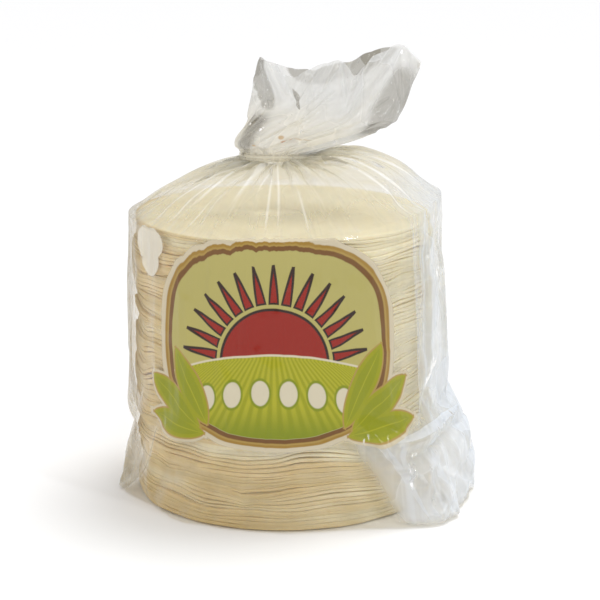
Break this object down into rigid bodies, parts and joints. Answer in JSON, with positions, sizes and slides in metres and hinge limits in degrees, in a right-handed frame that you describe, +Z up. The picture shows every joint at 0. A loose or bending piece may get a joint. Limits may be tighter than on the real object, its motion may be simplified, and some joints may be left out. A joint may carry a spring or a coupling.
{
  "type": "bagged corn tortilla stack",
  "caption": "Clear film bag packed with a tall round stack of corn tortillas, gathered at the neck by a tie below a crumpled open tail.",
  "frame": {"origin": "centre of the stack's base, on the face that the bag rests on", "axes": "+Z up along the stack, -Y towards the printed front, +X towards the side that the tail leans to"},
  "size_m": [0.1839, 0.159, 0.2255],
  "materials": {
    "film": "glossy",
    "tie_strip": "glossy"
  },
  "bodies": {
    "root": {"bag": "film", "tie": "tie_strip"}
  },
  "joints": []
}
